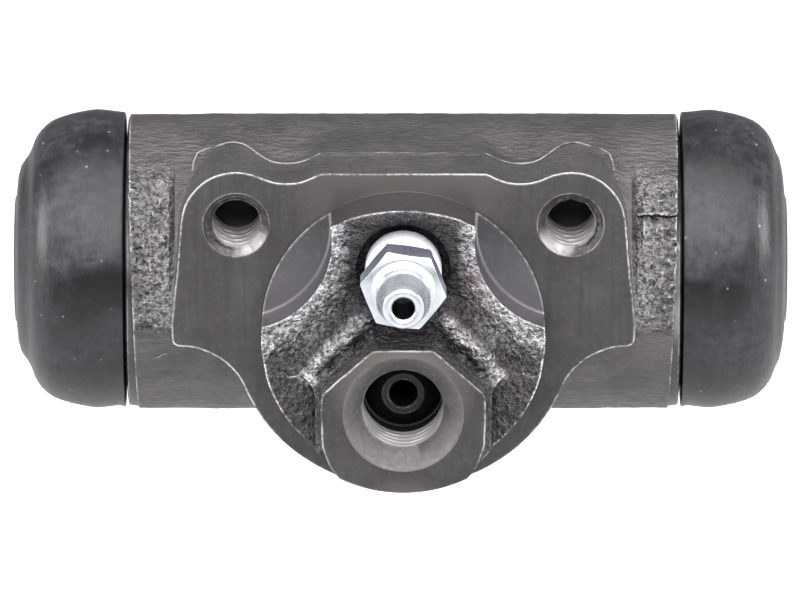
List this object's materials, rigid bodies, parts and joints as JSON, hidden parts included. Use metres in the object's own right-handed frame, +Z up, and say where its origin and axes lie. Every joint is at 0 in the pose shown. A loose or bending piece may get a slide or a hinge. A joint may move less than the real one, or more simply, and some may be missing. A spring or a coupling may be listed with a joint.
{
  "type": "wheel cylinder",
  "caption": "Cast wheel cylinder with a flanged mounting face, a pilot, an inlet port, a bleeder screw and a rubber boot over each piston.",
  "frame": {"origin": "centre of the round pilot, on the plane of the mounting face", "axes": "+X along the bore, +Z up towards the bolt holes, -Y out of the mounting face"},
  "size_m": [0.0832, 0.0508, 0.0361],
  "materials": {
    "casting": "rough cast, machined on the mounting face, pilot and ports",
    "zinc_plate": "bright zinc plate",
    "boot_rubber": "satin black with a little dust",
    "piston_metal": "turned and anodised",
    "cup_rubber": "smooth black",
    "pressed_steel": "pressed sheet",
    "spring_steel": "bare drawn wire"
  },
  "bodies": {
    "body": {"cylinder_body": "casting", "boot_left": "boot_rubber", "boot_right": "boot_rubber", "return_spring": "spring_steel"},
    "left_piston": {"piston_left": "piston_metal", "cup_left": "cup_rubber", "expander_left": "pressed_steel"},
    "right_piston": {"piston_right": "piston_metal", "cup_right": "cup_rubber", "expander_right": "pressed_steel"},
    "bleeder": {"bleeder_screw": "zinc_plate"}
  },
  "joints": [
    {"name": "left_piston_slide", "type": "slide", "parent": "body", "child": "left_piston", "axis": [-1, 0, 0], "range_m": [0, 0.006], "deforming": ["return_spring"]},
    {"name": "right_piston_slide", "type": "slide", "parent": "body", "child": "right_piston", "axis": [1, 0, 0], "range_m": [0, 0.006], "deforming": ["return_spring"]},
    {"name": "bleeder_turn", "type": "hinge", "parent": "body", "child": "bleeder", "pos_m": [0, -0.0042, 0.0082], "axis": [0, -1, 0], "range_deg": [0, 270]}
  ]
}
